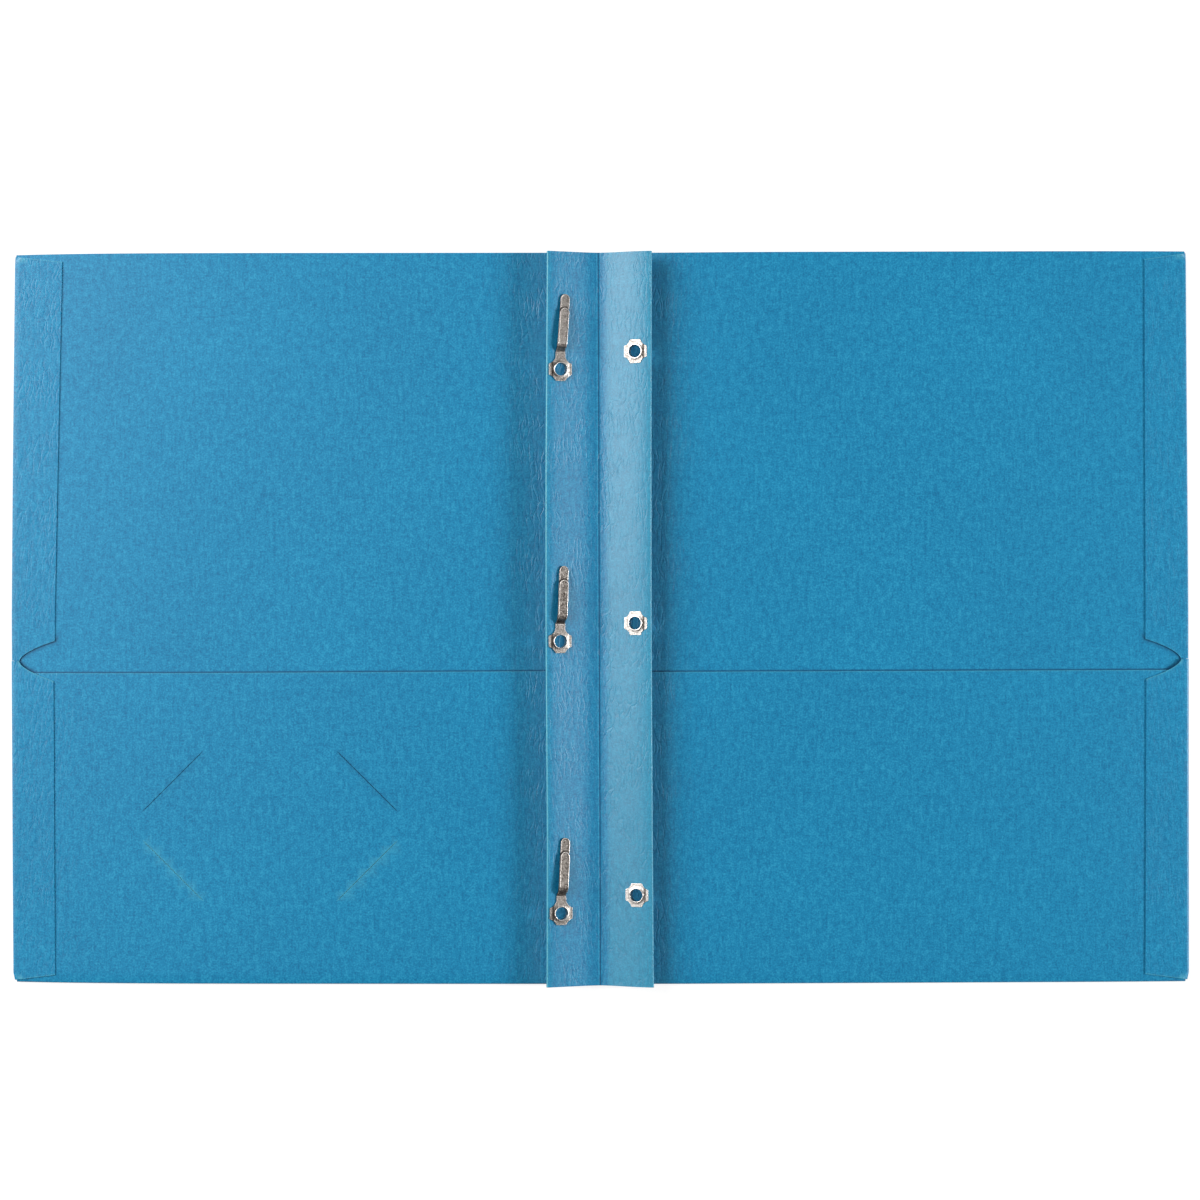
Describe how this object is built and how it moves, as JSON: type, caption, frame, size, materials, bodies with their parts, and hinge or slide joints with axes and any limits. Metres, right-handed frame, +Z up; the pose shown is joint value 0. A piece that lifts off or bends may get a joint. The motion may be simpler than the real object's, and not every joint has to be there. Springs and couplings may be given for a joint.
{
  "type": "two-pocket report folder with prong fasteners",
  "caption": "Open paper report folder with a pocket on each cover, side flaps with thumb notches and metal prong fasteners on binding flaps at the spine.",
  "frame": {"origin": "under the middle of the spine, half way up the folder, on the table that the covers lie on", "axes": "+X to the right across the open folder, towards the back cover; +Y towards the folder's top edge; +Z up, out of the inside faces"},
  "size_m": [0.47, 0.2922, 0.0113],
  "materials": {
    "cover_stock": "light blue cover stock, embossed with a fine leather grain, matt",
    "nickel_steel": "nickel-plated stamped steel with bright edges and a dull, worn face",
    "glue": "dried glue film"
  },
  "bodies": {
    "back_cover": {"back_cover_panel": "cover_stock", "back_pocket_panel": "cover_stock", "back_side_flap_upper": "cover_stock", "back_side_flap_lower": "cover_stock", "back_side_glue_upper": "glue", "back_side_glue_lower": "glue"},
    "back_binding_flap": {"back_flap_under_ply": "cover_stock", "back_flap_top_ply": "cover_stock", "back_flap_outer_fold": "cover_stock", "washer_top": "nickel_steel", "washer_middle": "nickel_steel", "washer_bottom": "nickel_steel", "washer_eyelet_top": "nickel_steel", "washer_eyelet_middle": "nickel_steel", "washer_eyelet_bottom": "nickel_steel"},
    "front_binding_flap": {"front_flap_under_ply": "cover_stock", "front_flap_top_ply": "cover_stock", "front_flap_outer_fold": "cover_stock", "prong_base_top": "nickel_steel", "prong_base_middle": "nickel_steel", "prong_base_bottom": "nickel_steel", "base_eyelet_top": "nickel_steel", "base_eyelet_middle": "nickel_steel", "base_eyelet_bottom": "nickel_steel"},
    "front_cover": {"front_cover_panel": "cover_stock", "front_pocket_panel": "cover_stock", "front_side_flap_upper": "cover_stock", "front_side_flap_lower": "cover_stock", "front_side_glue_upper": "glue", "front_side_glue_lower": "glue"},
    "long_leg_top": {"long_prong_top": "nickel_steel"},
    "long_leg_middle": {"long_prong_middle": "nickel_steel"},
    "long_leg_bottom": {"long_prong_bottom": "nickel_steel"},
    "short_leg_top": {"short_prong_top": "nickel_steel"},
    "short_leg_middle": {"short_prong_middle": "nickel_steel"},
    "short_leg_bottom": {"short_prong_bottom": "nickel_steel"}
  },
  "joints": [
    {"name": "back_cover_fold", "type": "hinge", "parent": "back_cover", "child": "back_binding_flap", "pos_m": [0.00045, 0, 0.0015], "axis": [0, -1, 0], "range_deg": [-15.8, 62.2]},
    {"name": "centre_fold", "type": "hinge", "parent": "back_binding_flap", "child": "front_binding_flap", "pos_m": [0, 0, 0.00282], "axis": [0, 1, 0], "range_deg": [-31.6, 124.4]},
    {"name": "front_cover_fold", "type": "hinge", "parent": "front_binding_flap", "child": "front_cover", "pos_m": [-0.00045, 0, 0.0015], "axis": [0, -1, 0], "range_deg": [-15.8, 62.2]},
    {"name": "long_leg_top_bend", "type": "hinge", "parent": "front_binding_flap", "child": "long_leg_top", "pos_m": [-0.01506, 0.10825, 0.0098], "axis": [-0.9443, 0.0698, 0.3215], "range_deg": [-90, 0]},
    {"name": "long_leg_middle_bend", "type": "hinge", "parent": "front_binding_flap", "child": "long_leg_middle", "pos_m": [-0.01506, 0.0003, 0.0098], "axis": [-0.9454, 0.0523, 0.3218], "range_deg": [-90, 0]},
    {"name": "long_leg_bottom_bend", "type": "hinge", "parent": "front_binding_flap", "child": "long_leg_bottom", "pos_m": [-0.01506, -0.10765, 0.0098], "axis": [-0.9443, 0.0698, 0.3215], "range_deg": [-90, 0]},
    {"name": "short_leg_top_bend", "type": "hinge", "parent": "long_leg_top", "child": "short_leg_top", "pos_m": [-0.01477, 0.10895, 0.01048], "axis": [-0.9443, 0.0698, 0.3215], "range_deg": [-90, 0]},
    {"name": "short_leg_middle_bend", "type": "hinge", "parent": "long_leg_middle", "child": "short_leg_middle", "pos_m": [-0.01478, 0.001, 0.01049], "axis": [-0.9454, 0.0523, 0.3218], "range_deg": [-90, 0]},
    {"name": "short_leg_bottom_bend", "type": "hinge", "parent": "long_leg_bottom", "child": "short_leg_bottom", "pos_m": [-0.01477, -0.10695, 0.01048], "axis": [-0.9443, 0.0698, 0.3215], "range_deg": [-90, 0]}
  ]
}
